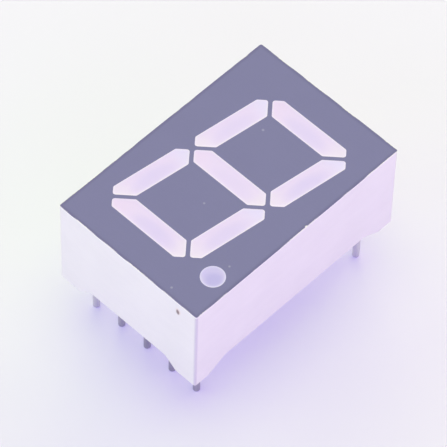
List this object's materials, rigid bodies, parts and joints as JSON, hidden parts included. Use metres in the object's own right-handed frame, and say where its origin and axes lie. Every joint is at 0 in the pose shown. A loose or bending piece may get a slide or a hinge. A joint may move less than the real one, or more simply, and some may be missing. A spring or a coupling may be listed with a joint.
{
  "type": "seven-segment led display",
  "caption": "Rectangular seven-segment LED display with a slanted digit and decimal point, grey face, white reflector body and rows of through-hole pins.",
  "frame": {"origin": "middle of the body in X and Y, at the tips of the pins in Z", "axes": "+X towards the digit's right, +Y towards its top, +Z out of its face"},
  "size_m": [0.0126, 0.019, 0.0121],
  "materials": {
    "white_plastic": "moulded, fine matt, drafted inside",
    "grey_ink": "thin flat printed layer",
    "window_resin": "milky cast resin, soft satin",
    "back_resin": "cast level, slightly cloudy",
    "board_laminate": "glass laminate",
    "copper": "etched foil",
    "chip": "sawn crystal",
    "bond_wire": "drawn",
    "tinned_pin": "dull tin over drawn wire",
    "solder": "smooth"
  },
  "bodies": {
    "root": {"housing": "white_plastic", "face_ink": "grey_ink", "circuit_board": "board_laminate", "copper_tracks": "copper", "potting_resin": "back_resin", "decimal_point": "window_resin", "led_chip_dp": "chip", "bond_wire_dp": "bond_wire", "segment_a": "window_resin", "led_chip_a": "chip", "bond_wire_a": "bond_wire", "segment_b": "window_resin", "led_chip_b": "chip", "bond_wire_b": "bond_wire", "segment_c": "window_resin", "led_chip_c": "chip", "bond_wire_c": "bond_wire", "segment_d": "window_resin", "led_chip_d": "chip", "bond_wire_d": "bond_wire", "segment_e": "window_resin", "led_chip_e": "chip", "bond_wire_e": "bond_wire", "segment_f": "window_resin", "led_chip_f": "chip", "bond_wire_f": "bond_wire", "segment_g": "window_resin", "led_chip_g": "chip", "bond_wire_g": "bond_wire", "pin_1": "tinned_pin", "solder_joint_1": "solder", "pin_2": "tinned_pin", "solder_joint_2": "solder", "pin_3": "tinned_pin", "solder_joint_3": "solder", "pin_4": "tinned_pin", "solder_joint_4": "solder", "pin_5": "tinned_pin", "solder_joint_5": "solder", "pin_6": "tinned_pin", "solder_joint_6": "solder", "pin_7": "tinned_pin", "solder_joint_7": "solder", "pin_8": "tinned_pin", "solder_joint_8": "solder", "pin_9": "tinned_pin", "solder_joint_9": "solder", "pin_10": "tinned_pin", "solder_joint_10": "solder"}
  },
  "joints": []
}
